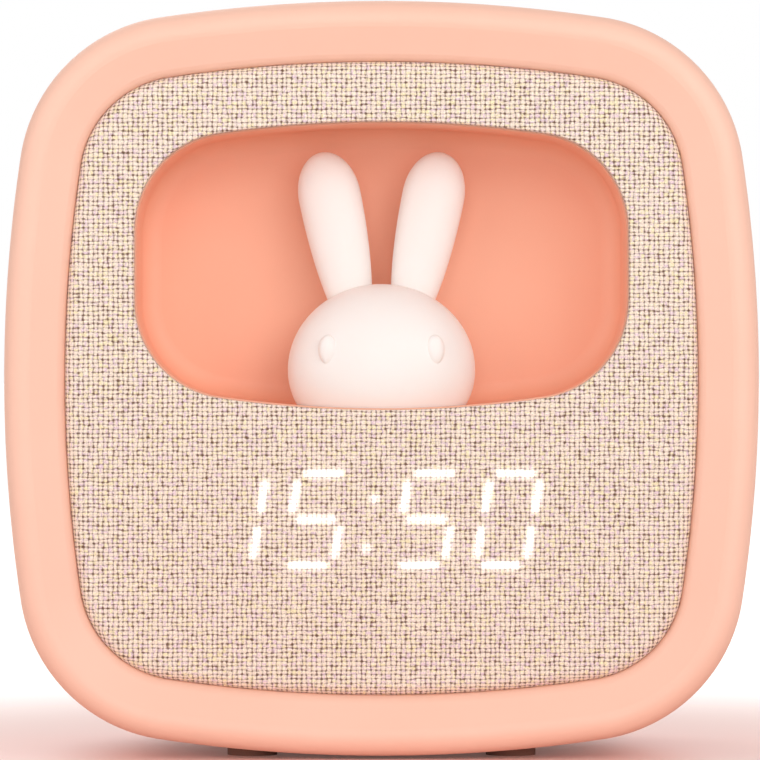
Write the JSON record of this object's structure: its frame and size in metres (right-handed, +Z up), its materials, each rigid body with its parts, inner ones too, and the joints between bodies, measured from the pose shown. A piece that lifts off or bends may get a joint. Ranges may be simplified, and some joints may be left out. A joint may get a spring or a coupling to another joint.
{
  "type": "kids alarm clock with night light",
  "caption": "Square desk clock with rounded corners, cloth front with glowing figures, and a rabbit night light in a bowl behind a window.",
  "frame": {"origin": "middle of the footprint, on the surface that the clock stands on", "axes": "+Z up, +X to the right of someone who reads the time, front towards -Y"},
  "size_m": [0.15, 0.08, 0.1507],
  "materials": {
    "peach_shell": "fine satin moulding",
    "peach_bowl": "smooth satin moulding",
    "peach_button": "satin",
    "white_plastic": "as moulded",
    "cloth": "plain weave of cream and brown yarns",
    "milk_silicone": "satin translucent silicone",
    "circuit_board": "solder resist",
    "led_body": "moulded lens",
    "reflector_white": "as moulded",
    "light_guide": "clear resin with diffuser",
    "black_plastic": "as moulded",
    "plated_steel": "tin plated",
    "plated_screw": "zinc plated",
    "cell_wrap": "shrink sleeve",
    "magnet": "sintered ferrite",
    "cone_paper": "pressed paper",
    "lead_sheath": "soft sheath",
    "foot_rubber": "matt"
  },
  "bodies": {
    "clock": {"alarm_switch_body": "plated_steel", "battery_cell": "cell_wrap", "battery_contacts": "plated_steel", "battery_cradle": "black_plastic", "board_chips": "black_plastic", "board_screws": "plated_screw", "button_board": "circuit_board", "case_screws": "plated_screw", "digit_segments": "light_guide", "display_board": "circuit_board", "display_lead": "lead_sheath", "display_screws": "plated_screw", "fabric_cover": "cloth", "front_case": "peach_shell", "front_panel": "white_plastic", "light_board": "circuit_board", "light_lead": "lead_sheath", "light_leds": "led_body", "light_screws": "plated_screw", "main_board": "circuit_board", "niche_bowl": "peach_bowl", "niche_screws": "plated_screw", "panel_screws": "plated_screw", "rabbit_diffuser": "milk_silicone", "rear_case": "peach_shell", "rubber_feet": "foot_rubber", "segment_frame": "reflector_white", "speaker_cone": "cone_paper", "speaker_frame": "plated_steel", "speaker_lead": "lead_sheath", "speaker_magnet": "magnet", "speaker_screws": "plated_screw", "tact_switches": "black_plastic", "usb_socket": "plated_steel"},
    "alarm_button_press": {"alarm_button": "peach_button", "alarm_button_plunger": "black_plastic"},
    "time_button_press": {"time_button": "peach_button", "time_button_plunger": "black_plastic"},
    "minus_button_press": {"minus_button": "peach_button", "minus_button_plunger": "black_plastic"},
    "plus_button_press": {"plus_button": "peach_button", "plus_button_plunger": "black_plastic"},
    "volume_button_press": {"volume_button": "peach_button", "volume_button_plunger": "black_plastic"},
    "light_button_press": {"light_button": "peach_button", "light_button_plunger": "black_plastic"},
    "alarm_slide": {"alarm_slider": "peach_button"}
  },
  "joints": [
    {"name": "alarm_button_travel", "type": "slide", "parent": "clock", "child": "alarm_button_press", "axis": [0, -1, 0], "range_m": [0, 0.0006], "stiffness_N_per_m": 2500},
    {"name": "time_button_travel", "type": "slide", "parent": "clock", "child": "time_button_press", "axis": [0, -1, 0], "range_m": [0, 0.0006], "stiffness_N_per_m": 2500},
    {"name": "minus_button_travel", "type": "slide", "parent": "clock", "child": "minus_button_press", "axis": [0, -1, 0], "range_m": [0, 0.0006], "stiffness_N_per_m": 2500},
    {"name": "plus_button_travel", "type": "slide", "parent": "clock", "child": "plus_button_press", "axis": [0, -1, 0], "range_m": [0, 0.0006], "stiffness_N_per_m": 2500},
    {"name": "volume_button_travel", "type": "slide", "parent": "clock", "child": "volume_button_press", "axis": [0, -1, 0], "range_m": [0, 0.0006], "stiffness_N_per_m": 2500},
    {"name": "light_button_travel", "type": "slide", "parent": "clock", "child": "light_button_press", "axis": [0, -1, 0], "range_m": [0, 0.0006], "stiffness_N_per_m": 2500},
    {"name": "alarm_slider_travel", "type": "slide", "parent": "clock", "child": "alarm_slide", "axis": [1, 0, 0], "range_m": [0, 0.003]}
  ]
}
